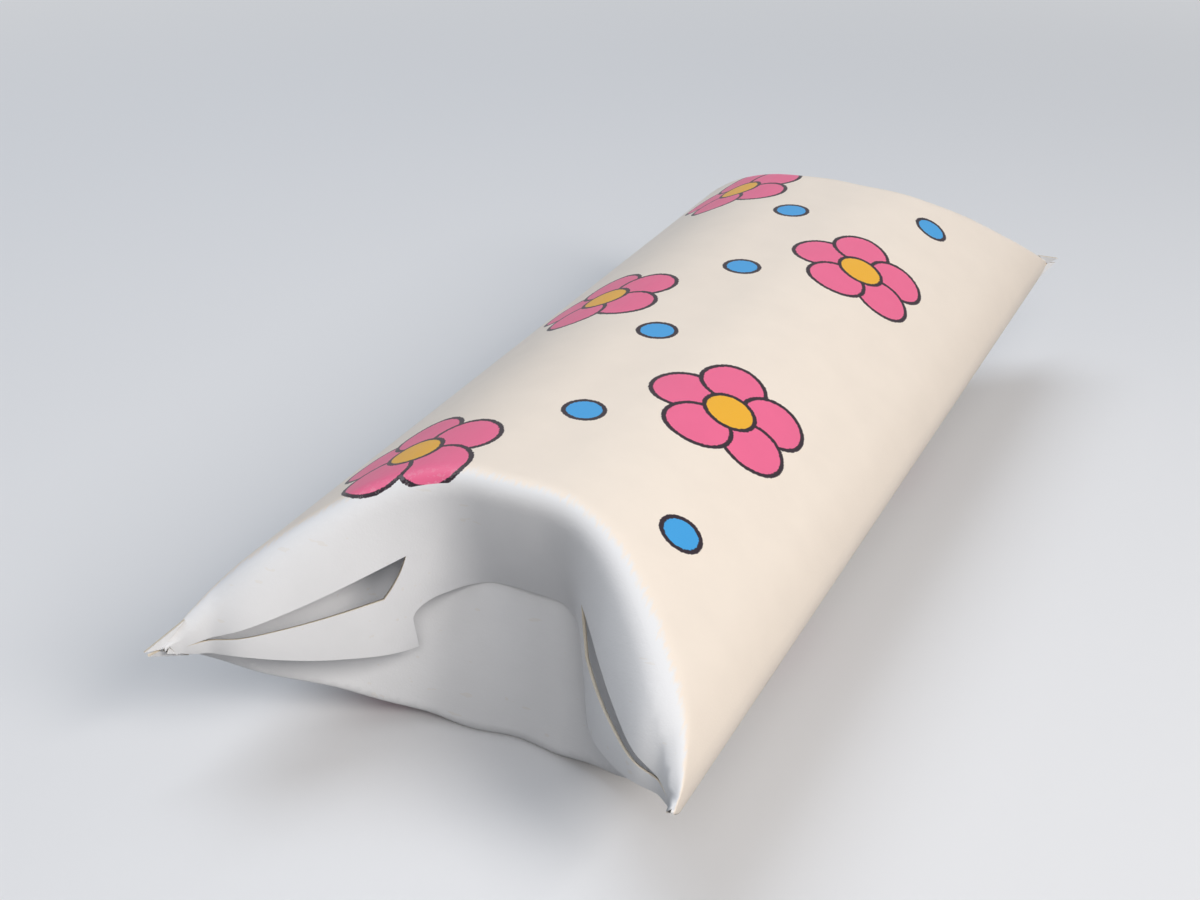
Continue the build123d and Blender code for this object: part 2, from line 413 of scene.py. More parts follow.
class FoldedCard:
    """The folded sheet: the arch of its panels and the run of its flaps."""

    def __init__(self, sizes):
        self.sizes = sizes
        half_flat = sizes.crown_flat / 2
        run = HALF_WIDTH - half_flat
        joints = np.array([
            (half_flat + run * across, HALF_HEIGHT * rise)
            for across, rise in zip(ARCH_RUN_SHARES, ARCH_RISE_SHARES)
        ])
        self.arch = arc_chain(joints, ARC_STEPS)
        self.arch_run = run_lengths(self.arch)
        self.station_x, self.station_up, self.station_run = self.stations()
        self.x = both_sides(self.station_x)

    def stations(self):
        """Across, up and printed run of the panel's face, from its middle to its side crease."""
        runs = np.linspace(0, self.arch_run[-1] - self.sizes.side_roll, CREASE_POINTS)
        x = np.interp(runs, self.arch_run, self.arch[:, 0])
        up = np.interp(runs, self.arch_run, self.arch[:, 1])
        start = np.array((x[-1], up[-1]))
        t = np.linspace(0, 0.5, ROLL_STEPS + 1)[1:, None]
        roll = bend_points(start, self.arch[-1], start * (1, -1), t)
        flat = np.linspace(0, self.sizes.crown_flat / 2, FLAT_STEPS + 1)[:-1]
        x = np.concatenate([flat, x, roll[:, 0]])
        up = np.concatenate([np.full(len(flat), HALF_HEIGHT), up, roll[:, 1]])
        return x, up, run_lengths(np.stack([x, up], 1))

    def share_to_x(self, share):
        """How far out a share of the crease lies, counted from the flat strip's edge."""
        return np.interp(np.array(share) * self.arch_run[-1], self.arch_run, self.arch[:, 0])

    def ripple(self, x, end, side):
        """Small waves of a hand-folded crease."""
        phase = RIPPLE_PHASES[0] * end + RIPPLE_PHASES[1] * side
        calm = 1 - fade(np.abs(x), RIPPLE_FADE * HALF_WIDTH, HALF_WIDTH)
        waves = np.sin(x / RIPPLE_RUNS[0] + phase) + np.sin(x / RIPPLE_RUNS[1] - 2 * phase)
        return RIPPLES[end, side] * calm * waves

    def crease(self, x, up, end, side):
        """How far out along the box the folded card turns."""
        less = fade(np.abs(x), STAND_FADE * HALF_WIDTH, HALF_WIDTH)
        out = HALF_LENGTH - self.sizes.end_recess * up / HALF_HEIGHT
        return out + self.sizes.crease_stand * (1 - less) + self.ripple(x, end, side)

    def thickness(self, x):
        """Thickness of the folded card, pressed thin where it runs out at the tips."""
        up = np.interp(np.abs(x), self.station_x, self.station_up)
        return self.sizes.card * (PRESSED + (1 - PRESSED) * fade(up, 0, PRESSED_RISE))

    def softness(self, side):
        """How far each side of an end crease the card bends."""
        return self.sizes.upper_softness if side == UPPER else self.sizes.lower_softness

    def section(self, x, up, end, side):
        """Places, out and up, from the panel to the flap's toe at one place across, and ways."""
        shares, *tables = FLAP_TABLES[side]
        at = self.share_to_x(shares)
        within = min(abs(x), at[-1])
        run, level, bulge = (float(smooth_through(at, values, within)) for values in tables)
        lowest = np.interp(at[-1], self.station_x, self.station_up)
        crease = np.array((self.crease(x, up, end, side), up))
        fall = np.array((self.sizes.end_recess * run, HALF_HEIGHT * level - max(up, lowest)))
        swell = np.array((HALF_HEIGHT * bulge, 0))
        shrink = 1 - fade(abs(x), at[-1], self.station_x[-1])
        length = shrink * np.linalg.norm(fall)
        bend = min(self.softness(side) / max(length, LEAST_LENGTH), LONGEST_BEND)
        t = np.linspace(bend, 1, SECTION_POINTS)[:, None]
        flap = crease + shrink * (fall * t + swell * 4 * t * (1 - t))
        flap_ways = unit(fall + swell * 4 * (1 - 2 * t))
        outward = np.array((1.0, 0.0))
        v = np.linspace(0, 1, FOLD_STEPS + 1)[:, None]
        fold = bend_points(crease - outward * bend * length, crease, flap[0], v)
        fold_ways = (1 - v) * outward + v * flap_ways[0]
        return np.concatenate([fold, flap[1:]]), np.concatenate([fold_ways, flap_ways[1:]])

    def sheet(self, end, side):
        """Grid of the fold and the flap over every station from left to right, and its normals."""
        x, up = self.x, both_sides(self.station_up, 1)
        rows = np.array([self.section(a, b, end, side) for a, b in zip(x, up)])
        flip = np.array((1, end, side))
        across = np.broadcast_to(x[:, None, None, None], (*rows.shape[:3], 1))
        points, ways = np.moveaxis(np.concatenate([across, rows], -1) * flip, 1, 0)
        points = points + np.array((0, 0, SIDE_LEVEL))
        turned = np.minimum(np.arange(points.shape[1]) / FOLD_STEPS, 1) ** 2
        tuck = self.sizes.tip_tuck * fade(np.abs(x), TUCK_START * HALF_WIDTH, self.station_x[-1])
        points[..., 0] -= (np.sign(x) * tuck)[:, None] * turned
        along = np.gradient(points, axis=1) + ways * np.array((0, 1, 1)) * TINY
        return points, unit(np.cross(np.gradient(points, axis=0), along) * end * side)


# Meshes

def placed(name, data):
    """New object of the scene that holds a mesh, a light or a camera."""
    holder = bpy.data.objects.new(name, data)
    bpy.context.scene.collection.objects.link(holder)
    return holder


def card_mesh(name, face, normals, faces, thickness, runs, materials, folds):
    """Sheet of card with a face, a back and cut edges, from points, normals and faces."""
    count = len(face)
    points = np.concatenate([face, face - normals * thickness[:, None]])
    edges = [edge for loop in faces for edge in zip(loop, loop[1:] + loop[:1])]
    used = set(edges)
    rim = [(a, b) for a, b in edges if (b, a) not in used]
    polygons = (
        [tuple(loop) for loop in faces]
        + [tuple(i + count for i in reversed(loop)) for loop in faces]
        + [(b, a, a + count, b + count) for a, b in rim]
    )
    mesh = bpy.data.meshes.new(name)
    mesh.from_pydata(points.tolist(), [], polygons)
    for material in materials:
        mesh.materials.append(material)
    slots = np.repeat((FACE_SLOT, BACK_SLOT, EDGE_SLOT), (len(faces), len(faces), len(rim)))
    mesh.polygons.foreach_set("material_index", slots.astype(np.int32))
    corners = np.zeros(len(mesh.loops), np.int32)
    mesh.loops.foreach_get("vertex_index", corners)
    layer = mesh.uv_layers.new(name="print_run")
    layer.data.foreach_set("uv", np.concatenate([runs, runs])[corners].astype(np.float32).ravel())
    worn = mesh.attributes.new("fold_wear", "FLOAT", "POINT")
    worn.data.foreach_set("value", np.concatenate([folds, folds]).astype(np.float32))
    mesh.shade_smooth()
    smooth = np.concatenate([normals, -normals])[corners]
    of_sheet = np.repeat(slots != EDGE_SLOT, [len(loop) for loop in polygons])
    mesh.normals_split_custom_set(np.where(of_sheet[:, None], smooth, 0).tolist())
    return placed(name, mesh)


def panel_grid(card, side):
    """Points and normals of a panel from the split row of one end's fold to the other's."""
    front, front_normals = card.sheet(FRONT, side)
    rear, rear_normals = card.sheet(REAR, side)
    start, finish = front[:, :1], rear[:, :1]
    shares = 0.5 - 0.5 * np.cos(np.pi * np.linspace(0, 1, PANEL_ROWS + 2)[1:-1])
    body = start + (finish - start) * shares[None, :, None]
    square = unit(np.cross(np.gradient(start[:, 0], axis=0), (0, side, 0)))
    grid = np.concatenate([front[:, SPLIT_ROW::-1], body, rear[:, :SPLIT_ROW + 1]], 1)
    normals = np.concatenate([
        front_normals[:, SPLIT_ROW::-1],
        np.broadcast_to(square[:, None], body.shape),
        rear_normals[:, :SPLIT_ROW + 1],
    ], 1)
    normals[[0, -1]] = np.array([(-1, 0, 0), (1, 0, 0)])[:, None]
    return grid, normals


def panel_runs(card, grid, side):
    """Places of a panel's points on the flat sheet, in millimetres from its middle."""
    lengths = np.linalg.norm(np.diff(grid, axis=1), axis=-1).cumsum(1)
    lengths = np.concatenate([np.zeros((len(grid), 1)), lengths], 1)
    lengths -= lengths[:, -1:] / 2
    shift = LOWER_PRINT_SHIFT if side == LOWER else 0
    across = np.broadcast_to(both_sides(card.station_run)[:, None], lengths.shape)
    return np.stack([across, lengths - shift], -1) / MM


def panel_piece(name, card, side, materials):
    """One arched panel with its half of every fold."""
    grid, normals = panel_grid(card, side)
    across, along = grid.shape[:2]
    kept = SPLIT_ROW + 1
    worn = np.linspace(1, 0, kept)
    folds = np.zeros((across, along))
    folds[:, :kept], folds[:, -kept:] = worn, worn[::-1]
    for rolled in (slice(ROLL_STEPS), slice(-ROLL_STEPS, None)):
        folds[rolled] = np.maximum(folds[rolled], SIDE_WEAR)
    thin = card.thickness(grid[:, SPLIT_ROW, 0])[:, None]
    thickness = np.full((across, along), card.sizes.card)
    thickness[:, :SPLIT_ROW], thickness[:, -SPLIT_ROW:] = thin, thin
    faces = []
    for i in range(across - 1):
        for j in range(along - 1):
            a, b = i * along + j, (i + 1) * along + j
            faces.append([a, b, b + 1, a + 1] if side == UPPER else [a, a + 1, b + 1, b])
    return card_mesh(
        name, grid.reshape(-1, 3), normals.reshape(-1, 3), faces, thickness.ravel(),
        panel_runs(card, grid, side).reshape(-1, 2), materials, folds.ravel(),
    )


def inside(points, loop):
    """Whether each point lies inside a closed loop."""
    x, y = points[:, 0], points[:, 1]
    found = np.zeros(len(points), bool)
    for (ax, ay), (bx, by) in zip(loop, np.roll(loop, -1, axis=0)):
        crosses = (ay > y) != (by > y)
        reach = ax + (y - ay) * (bx - ax) / (by - ay or TINY)
        found ^= crosses & (x < reach)
    return found


def gap_to(points, loop):
    """Distance from each point to a closed loop."""
    nearest = np.full(len(points), np.inf)
    for a, b in zip(loop, np.roll(loop, -1, axis=0)):
        way = b - a
        t = np.clip((points - a) @ way / max(way @ way, LEAST_SQUARE), 0, 1)[:, None]
        nearest = np.minimum(nearest, np.linalg.norm(points - a - t * way, axis=1))
    return nearest


def notch_loop(sizes):
    """Thumb notch seen from the end, open towards the toe."""
    half, corner = sizes.notch_width / 2, sizes.notch_corner
    flat = half - corner
    top = arc_points((-flat, 0), (0, sizes.notch_crown), (flat, 0), NOTCH_TOP_POINTS)
    turn = np.linspace(0, math.pi / 2, NOTCH_CORNER_STEPS + 1)[1:]
    right = np.stack([flat + corner * np.sin(turn), corner * (np.cos(turn) - 1)], 1)
    left = (right * (-1, 1))[::-1]
    foot = -HALF_HEIGHT
    return np.concatenate([left, top, right, [(half, foot), (-half, foot)]])


def slit_loop(hand):
    """Wedge-shaped slit beside the notch, seen from the end."""
    high, low, point = (np.array(p) for p in (SLIT_HIGH, SLIT_LOW, SLIT_POINT))
    upper = arc_points(high, (high + point) / 2 - (0, SLIT_SAG), point, SLIT_UPPER_POINTS)
    under = arc_points(point, (point + low) / 2, low, SLIT_UNDER_POINTS)
    short = arc_points(low, (low + high) / 2 - (SLIT_BOW, 0), high, SLIT_SHORT_POINTS)
    return np.concatenate([upper[:-1], under[:-1], short[:-1]]) * (hand, 1)


def flap_outline(card, grid, side):
    """Flap seen from the end, from its crease round its toe, across and up."""
    up = rise_of(grid, side)
    crease, toe = (np.stack([card.x, up[:, row]], 1) for row in (SPLIT_ROW, -1))
    return np.concatenate([crease, toe[-2:0:-1]])


def net_points(loops, step):
    """Even net of points inside the first loop and clear of every loop."""
    low, high = loops[0].min(0), loops[0].max(0)
    across = np.arange(low[0], high[0], step)
    up = np.arange(low[1], high[1], step * NET_ROWS)
    net = np.array([
        (place + (j % 2) * step / 2, level) for j, level in enumerate(up) for place in across
    ])
    net = net[inside(net, loops[0])]
    for loop in loops:
        net = net[gap_to(net, loop) > NET_CLEARANCE * step]
    return net


def triangulated(loops, net):
    """Points and triangles that fill the first loop apart from the others, and double areas."""
    points, edges = [], []
    for loop in loops:
        first, count = len(points), len(loop)
        points.extend(loop.tolist())
        edges.extend((first + i, first + (i + 1) % count) for i in range(count))
    points.extend(net.tolist())
    found, _, triangles, *_ = geometry.delaunay_2d_cdt(
        [Vector(p) / MM for p in points], edges, [], 0, MERGE_DISTANCE
    )
    flat = np.array([(p.x, p.y) for p in found]) * MM
    triangles = np.array(triangles)
    middles = flat[triangles].mean(1)
    a, b, c = (flat[triangles[:, k]] for k in range(3))
    area = (b - a)[:, 0] * (c - a)[:, 1] - (b - a)[:, 1] * (c - a)[:, 0]
    keep = inside(middles, loops[0]) & (np.abs(area) > LEAST_AREA)
    for cut in loops[1:]:
        keep &= ~inside(middles, cut)
    return flat, triangles[keep], area[keep]


def on_sheet(card, grid, normals, side, points):
    """Places and normals on a flap's sheet of points given across and up from the side creases."""
    x, level = card.x, rise_of(grid[:, SPLIT_ROW:], side)
    index = np.clip(np.searchsorted(x, points[:, 0], side="right") - 1, 0, len(x) - 2)
    share = (points[:, 0] - x[index]) / (x[index + 1] - x[index])
    places, ways = np.zeros((len(points), 3)), np.zeros((len(points), 3))
    rows = np.arange(level.shape[1])
    for k, (i, t) in enumerate(zip(index, share)):
        levels = (1 - t) * level[i] + t * level[i + 1]
        row = np.interp(-points[k, 1], -levels, rows)
        low = min(int(row), len(rows) - 2)
        v = row - low
        near = slice(SPLIT_ROW + low, SPLIT_ROW + low + 2)
        for source, target in ((grid, places), (normals, ways)):
            pair = (1 - t) * source[i, near] + t * source[i + 1, near]
            target[k] = (1 - v) * pair[0] + v * pair[1]
    return places, unit(ways)


def flap_piece(name, card, end, side, materials):
    """One flap with its half of the fold, its notch and its slits."""
    grid, normals = card.sheet(end, side)
    cuts = [notch_loop(card.sizes), slit_loop(RIGHT), slit_loop(LEFT)] if side == UPPER else []
    loops = [flap_outline(card, grid, side), *cuts]
    flat, triangles, area = triangulated(loops, net_points(loops, card.sizes.mesh_step))
    turned = (area > 0) == (end * side > 0)
    triangles = np.where(turned[:, None], triangles[:, ::-1], triangles)
    used, renumbered = np.unique(triangles, return_inverse=True)
    flat = flat[used]
    places, ways = on_sheet(card, grid, normals, side, flat)
    crease_up = np.interp(flat[:, 0], card.x, rise_of(grid[:, SPLIT_ROW], side))
    folds = 1 - fade(crease_up - flat[:, 1], 0, card.softness(side))
    return card_mesh(
        name, places, ways, renumbered.reshape(-1, 3).tolist(), card.thickness(flat[:, 0]),
        places[:, [0, 2]] / MM, materials, folds,
    )


def ear_corners(card, end, hand):
    """Triangles of the ears at one tip, by corners across, out along the box and up."""
    thickness = card.sizes.card
    root_x = np.interp(-EAR_ROOT, -card.station_up, card.station_x)
    low = np.array((hand * (HALF_WIDTH - EAR_INSET), HALF_LENGTH - EAR_INSET, 0))
    triangles = []
    for side, share in EAR_SIDES:
        reach = share * EAR_SHARES[end, hand]
        out = card.crease(root_x, EAR_ROOT, end, side)
        high = np.array((hand * (root_x - thickness), out - thickness, side * EAR_ROOT))
        spread, length = HALF_WIDTH + reach * EAR_SPREAD, HALF_LENGTH + reach * EAR_REACH
        if reach:
            triangles.append((low, np.array((hand * spread, length, side * EAR_GAP)), high))
    return triangles


def web_corners(card, upper, lower, hand):
    """Triangle that closes the corner between the ends of the two flaps' sheets."""
    middle = len(card.station_x) - 1
    flap_end = np.searchsorted(card.station_x, card.share_to_x(OUTER_STATIONS[-1]))
    tip, root = middle + hand * middle, middle + hand * flap_end
    drop = np.array((0, 0, WEB_DROP))
    return upper[tip, -1] - drop, lower[root, -1] - drop, upper[root, SPLIT_ROW]


def shell_points(corners, thickness):
    """Corners of a triangle of card, of its one face and then of the other."""
    square = unit(np.cross(corners[2] - corners[0], corners[1] - corners[0])) * thickness / 2
    return [corner + sign * square for sign in (-1, 1) for corner in corners]


def ear_piece(name, card, end, materials):
    """Corners of card at the tips: a web between the flaps' ends, and ears that stick out."""
    thickness = card.sizes.card
    upper, lower = (
        (card.sheet(end, side)[0] - (0, 0, SIDE_LEVEL)) * (1, end, 1) - (0, WEB_INSET, 0)
        for side in (UPPER, LOWER)
    )
    vertices, faces = [], []
    for hand in (LEFT, RIGHT):
        shells = [(corners, thickness) for corners in ear_corners(card, end, hand)]
        shells.append((web_corners(card, upper, lower, hand), PRESSED * thickness))
        for corners, layer in shells:
            first = len(vertices)
            vertices.extend(
                (point * (1, end, 1) + (0, 0, SIDE_LEVEL)).tolist()
                for point in shell_points(corners, layer)
            )
            faces.extend([first + i for i in loop] for loop in SHELL_LOOPS)
    mesh = bpy.data.meshes.new(name)
    mesh.from_pydata(vertices, [], faces)
    for material in materials:
        mesh.materials.append(material)
    slots = np.tile(SHELL_SLOTS, len(faces) // len(SHELL_LOOPS))
    mesh.polygons.foreach_set("material_index", slots.astype(np.int32))
    face_outwards(mesh)
    return placed(name, mesh)


def face_outwards(mesh):
    """Turn the faces of every closed shell outwards."""
    work = bmesh.new()
    work.from_mesh(mesh)
    bmesh.ops.recalc_face_normals(work, faces=work.faces)
    work.to_mesh(mesh)
    work.free()


# Nodes

def node_tree(name):
    """New material and its node tree, emptied."""
    material = bpy.data.materials.new(name)
    material.use_nodes = True
    material.node_tree.nodes.clear()
    return material, material.node_tree


def add_node(tree, kind, **values):
    """Node with its attributes set, and its inputs set or linked by name or as i and number."""
    node = tree.nodes.new(kind)
    for key, value in values.items():
        if hasattr(node, key):
            setattr(node, key, value)
            continue
        numbered = key[0] == "i" and key[1:].isdigit()
        socket = node.inputs[int(key[1:]) if numbered else key.replace("_", " ")]
        if isinstance(value, bpy.types.NodeSocket):
            tree.links.new(value, socket)
        else:
            socket.default_value = value
    return node


def result(tree, kind, **values):
    """First output of a new node."""
    return add_node(tree, kind, **values).outputs[0]


def maths(tree, operation, a, b=0.0, c=0.0):
    """Result of an operation on numbers."""
    return result(tree, "ShaderNodeMath", operation=operation, i0=a, i1=b, i2=c)


def vector_maths(tree, operation, a, b=(0, 0, 0)):
    """Result of an operation on vectors, a number for a length or a distance."""
    node = add_node(tree, "ShaderNodeVectorMath", operation=operation, i0=a, i1=b)
    return node.outputs["Value" if operation in ("LENGTH", "DISTANCE") else "Vector"]


def smooth_ramp(tree, value, start, end, first=0.0, last=1.0):
    """Smooth step of a value, from first at start to last at end."""
    return result(
        tree, "ShaderNodeMapRange", interpolation_type="SMOOTHSTEP",
        i0=value, i1=start, i2=end, i3=first, i4=last,
    )


def between(tree, share, low, high):
    """Number that goes from low to high with a share."""
    return maths(tree, "MULTIPLY_ADD", share, high - low, low)


def mix_colours(tree, share, below, above):
    """Colour that goes from one to another with a share."""
    return add_node(
        tree, "ShaderNodeMix", data_type="RGBA", i0=share, i6=below, i7=above
    ).outputs[2]


def shade(colour, share=1):
    """Opaque colour with a share of the brightness, as a socket takes it."""
    return (*[min(1, part * share) for part in colour], 1)


def mottled(tree, share, colour, low, high):
    """Colour whose brightness goes from low to high with a share."""
    return mix_colours(tree, share, shade(colour, low), shade(colour, high))


def noise(tree, place, scale, detail=2.0, rough=0.5, stretch=None):
    """Noise between 0 and 1, by place."""
    if stretch:
        place = vector_maths(tree, "MULTIPLY", place, stretch)
    return result(
        tree, "ShaderNodeTexNoise", Vector=place, Scale=scale, Detail=detail, Roughness=rough
    )


def object_place(tree):
    """Place on the piece, in metres."""
    return add_node(tree, "ShaderNodeTexCoord").outputs["Object"]


def fold_wear(tree):
    """How worn the card is along its folds, from 0 to 1."""
    return add_node(tree, "ShaderNodeAttribute", attribute_name="fold_wear").outputs["Fac"]


def surface(tree, colour, roughness, height, depth, coat=0.0, sheen=0.0, specular=0.5):
    """Principled surface with bump."""
    bump = result(tree, "ShaderNodeBump", Strength=1.0, Distance=depth, Height=height)
    return result(
        tree, "ShaderNodeBsdfPrincipled", Base_Color=colour, Roughness=roughness, Normal=bump,
        Coat_Weight=coat, Coat_Roughness=COAT_ROUGHNESS, Sheen_Weight=sheen,
        Specular_IOR_Level=specular,
    )


def put_out(tree, shader):
    """Output of a material's tree."""
    add_node(tree, "ShaderNodeOutputMaterial", Surface=shader)


# Print

def disc(tree, printed, place, centre, radius, fill, below):
    """Printed disc with a dark outline over what is below it."""
    away = vector_maths(tree, "DISTANCE", place, (*centre, 0))
    outer = radius / MM
    inner = outer - printed.ink_width / MM
    for edge, colour in ((outer, shade(printed.ink)), (inner, fill)):
        within = smooth_ramp(tree, away, edge - DISC_SOFTNESS, edge + DISC_SOFTNESS, 1.0, 0.0)
        below = mix_colours(tree, within, below, colour)
    return below


def repeated(tree, across, along, centre, pitch):
    """Place from the middle of the nearest repeat of a motif."""
    from_centre = maths(tree, "SUBTRACT", along, centre[1])
    wrapped = maths(tree, "WRAP", from_centre, pitch / 2, -pitch / 2)
    sideways = maths(tree, "SUBTRACT", across, centre[0])
    return result(tree, "ShaderNodeCombineXYZ", X=sideways, Y=wrapped)


def print_place(tree):
    """Place on the flat sheet in millimetres, with the slight wander of a print's edges."""
    run = result(tree, "ShaderNodeUVMap", uv_map="print_run")
    wobble = add_node(tree, "ShaderNodeTexNoise", Vector=run, Scale=WOBBLE_SCALE, Detail=1.0)
    shift = vector_maths(tree, "SUBTRACT", wobble.outputs["Color"], (0.5, 0.5, 0.5))
    shift = vector_maths(tree, "MULTIPLY", shift, (WOBBLE, WOBBLE, 0))
    return vector_maths(tree, "ADD", run, shift)


def flower_place(tree, across, along, pitch):
    """Place from the middle of the nearest flower, in the left or in the right column."""
    is_left = maths(tree, "LESS_THAN", across, COLUMN_EDGE)
    left = repeated(tree, across, along, FLOWER_LEFT, pitch)
    right = repeated(tree, across, along, FLOWER_RIGHT, pitch)
    return add_node(
        tree, "ShaderNodeMix", data_type="VECTOR", i0=is_left, i4=right, i5=left
    ).outputs[1]


def bare_share(tree, run):
    """Share of the print that has worn off in streaks along the folds."""
    streaks = noise(tree, run, STREAK_SCALE, 3.0, 0.6, STREAK_GRAIN)
    feather = maths(tree, "MULTIPLY_ADD", streaks, STREAK_SHARE, fold_wear(tree))
    return smooth_ramp(tree, feather, BARE_START, BARE_END)


def printed_colour(tree, printed, finishes):
    """Colour of the printed card: flowers and dots on a pale ground."""
    run = print_place(tree)
    across, along, _ = add_node(tree, "ShaderNodeSeparateXYZ", Vector=run).outputs
    pitch, reach = printed.flower_pitch / MM, printed.petal_reach / MM
    mottle = noise(tree, object_place(tree), MOTTLE_SCALE, 3.0)
    ground = mottled(tree, mottle, printed.ground, 0.955, 1.03)
    colour = mix_colours(tree, bare_share(tree, run), ground, shade(finishes.plain))
    flower = flower_place(tree, across, along, pitch)
    petal = mottled(tree, mottle, printed.petal, 1.0, 0.9)
    for turn in PETAL_TURNS:
        angle = math.radians(turn)
        centre = (reach * math.cos(angle), reach * math.sin(angle))
        colour = disc(tree, printed, flower, centre, printed.petal_radius, petal, colour)
    heart, dot = shade(printed.heart), shade(printed.dot)
    colour = disc(tree, printed, flower, (0, 0), printed.heart_radius, heart, colour)
    for centres, repeat in ((DOT_MIDDLES, pitch), (DOT_SIDES, SIDE_DOT_PITCHES * pitch)):
        for centre in centres:
            place = repeated(tree, across, along, centre, repeat)
            colour = disc(tree, printed, place, (0, 0), printed.dot_radius, dot, colour)
    return colour


# Finishes

def card_relief(tree, grain):
    """Height of the card's surface, with fibres, a fine tooth and slow waves, and its fibres."""
    place = object_place(tree)
    fibres = noise(tree, place, FIBRE_SCALE, 3.0, 0.6, grain)
    tooth = maths(tree, "MULTIPLY", noise(tree, place, TOOTH_SCALE, 2.0), TOOTH_HEIGHT)
    height = maths(tree, "MULTIPLY_ADD", fibres, FIBRE_HEIGHT, tooth)
    waves = noise(tree, place, WAVE_SCALE, 1.0)
    return maths(tree, "MULTIPLY_ADD", waves, WAVE_HEIGHT, height), fibres


def worn_folds(tree, colour, pale):
    """Colour rubbed pale in specks along the folds."""
    specks = noise(tree, object_place(tree), SPECK_SCALE, 3.0, 0.65)
    is_speck = maths(tree, "GREATER_THAN", specks, SPECK_LEVEL)
    amount = maths(tree, "MULTIPLY", fold_wear(tree), is_speck)
    return mix_colours(tree, maths(tree, "MULTIPLY", amount, SPECK_SHARE), colour, pale)


def printed_card(printed, finishes):
    """Coated face with the print, satin, and worn along its folds."""
    material, tree = node_tree("printed_face")
    colour = worn_folds(tree, printed_colour(tree, printed, finishes), shade(finishes.plain))
    height, fibres = card_relief(tree, PRINTED_GRAIN)
    roughness = between(tree, fibres, 0.36, 0.5)
    put_out(tree, surface(tree, colour, roughness, height, 0.03 * MM, coat=0.06, specular=0.32))
    return material


def plain_card(finishes):
    """Uncoated card with cloudy whiteness and a few flecks."""
    material, tree = node_tree("plain_face")
    place = object_place(tree)
    colour = mottled(tree, noise(tree, place, CLOUD_SCALE, 3.0), finishes.plain, 0.94, 1.04)
    flecks = noise(tree, place, FLECK_SCALE, 2.0, 0.6, FLECK_GRAIN)
    amount = maths(tree, "MULTIPLY", maths(tree, "GREATER_THAN", flecks, FLECK_LEVEL), FLECK_SHARE)
    colour = mix_colours(tree, amount, colour, shade(finishes.edge))
    colour = worn_folds(tree, colour, shade(finishes.plain, 1.08))
    height, fibres = card_relief(tree, PLAIN_GRAIN)
    roughness = between(tree, fibres, 0.62, 0.77)
    put_out(tree, surface(tree, colour, roughness, height, 0.04 * MM, sheen=0.05, specular=0.35))
    return material


def cut_edge(finishes):
    """Fibrous cut edge of the board."""
    material, tree = node_tree("cut_edge")
    fibres = noise(tree, object_place(tree), EDGE_SCALE, 4.0, 0.7)
    colour = mottled(tree, fibres, finishes.edge, 0.82, 1.1)
    roughness = between(tree, fibres, 0.8, 0.9)
    put_out(tree, surface(tree, colour, roughness, fibres, 0.05 * MM, specular=0.25))
    return material


def dried_glue(finishes):
    """Streaky film of dried glue."""
    material, tree = node_tree("glue_film")
    streaks = noise(tree, object_place(tree), GLUE_SCALE, 3.0, 0.55, GLUE_GRAIN)
    colour = mottled(tree, streaks, finishes.glue, 0.8, 1.1)
    roughness = between(tree, streaks, 0.2, 0.5)
    put_out(tree, surface(tree, colour, roughness, streaks, 0.05 * MM, coat=0.2))
    return material


def seen_directly(tree):
    """1 for the rays that see the background: from the camera, mirrored or let through."""
    rays = add_node(tree, "ShaderNodeLightPath").outputs
    straight = maths(tree, "MAXIMUM", rays["Is Glossy Ray"], rays["Is Transmission Ray"])
    return maths(tree, "MAXIMUM", rays["Is Camera Ray"], straight)


def mix_shaders(tree, share, below, above):
    """Shader that goes from one to another with a share."""
    return result(tree, "ShaderNodeMixShader", i0=share, i1=below, i2=above)


def floor_finish(finishes):
    """Pale floor that gives little light back, and fades into the backdrop away from the box."""
    material, tree = node_tree("studio_floor")
    place, seen = object_place(tree), seen_directly(tree)
    cloud = noise(tree, place, FLOOR_SCALE, 3.0)
    pale = mottled(tree, cloud, finishes.floor, 0.985, 1.0)
    colour = mix_colours(tree, seen, shade(finishes.floor, FLOOR_BOUNCE), pale)
    near = surface(tree, colour, 0.85, cloud, 0.1 * MM, specular=0.2)
    glow = result(tree, "ShaderNodeEmission", Color=BACKDROP, Strength=1.0)
    far = smooth_ramp(tree, vector_maths(tree, "LENGTH", place), BACKDROP_NEAR, BACKDROP_FAR)
    put_out(tree, mix_shaders(tree, maths(tree, "MULTIPLY", far, seen), near, glow))
    return material


def studio_world():
    """World that lights softly and is seen as a pale backdrop."""
    world = bpy.data.worlds.new("studio_world")
    world.use_nodes = True
    tree = world.node_tree
    tree.nodes.clear()
    lit, seen = (
        result(tree, "ShaderNodeBackground", Color=colour, Strength=strength)
        for colour, strength in ((SKY_COLOUR, SKY_STRENGTH), (BACKDROP, 1.0))
    )
    mixed = mix_shaders(tree, seen_directly(tree), lit, seen)
    add_node(tree, "ShaderNodeOutputWorld", Surface=mixed)
    return world


def shared(name, make):
    """Material of that name, made the first time that it is asked for."""
    return bpy.data.materials.get(name) or make()


def card_finishes(scene):
    """Face, back and edge finishes of the printed and of the plain card."""
    finishes = scene.pillow_box_finishes
    plain = shared("plain_face", lambda: plain_card(finishes))
    edge = shared("cut_edge", lambda: cut_edge(finishes))
    printed = shared("printed_face", lambda: printed_card(scene.pillow_box_print, finishes))
    return [printed, plain, edge], [plain, plain, edge]


# Operators

def fold_with(piece):
    """Bake the piece's placement into its mesh."""
    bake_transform(piece)


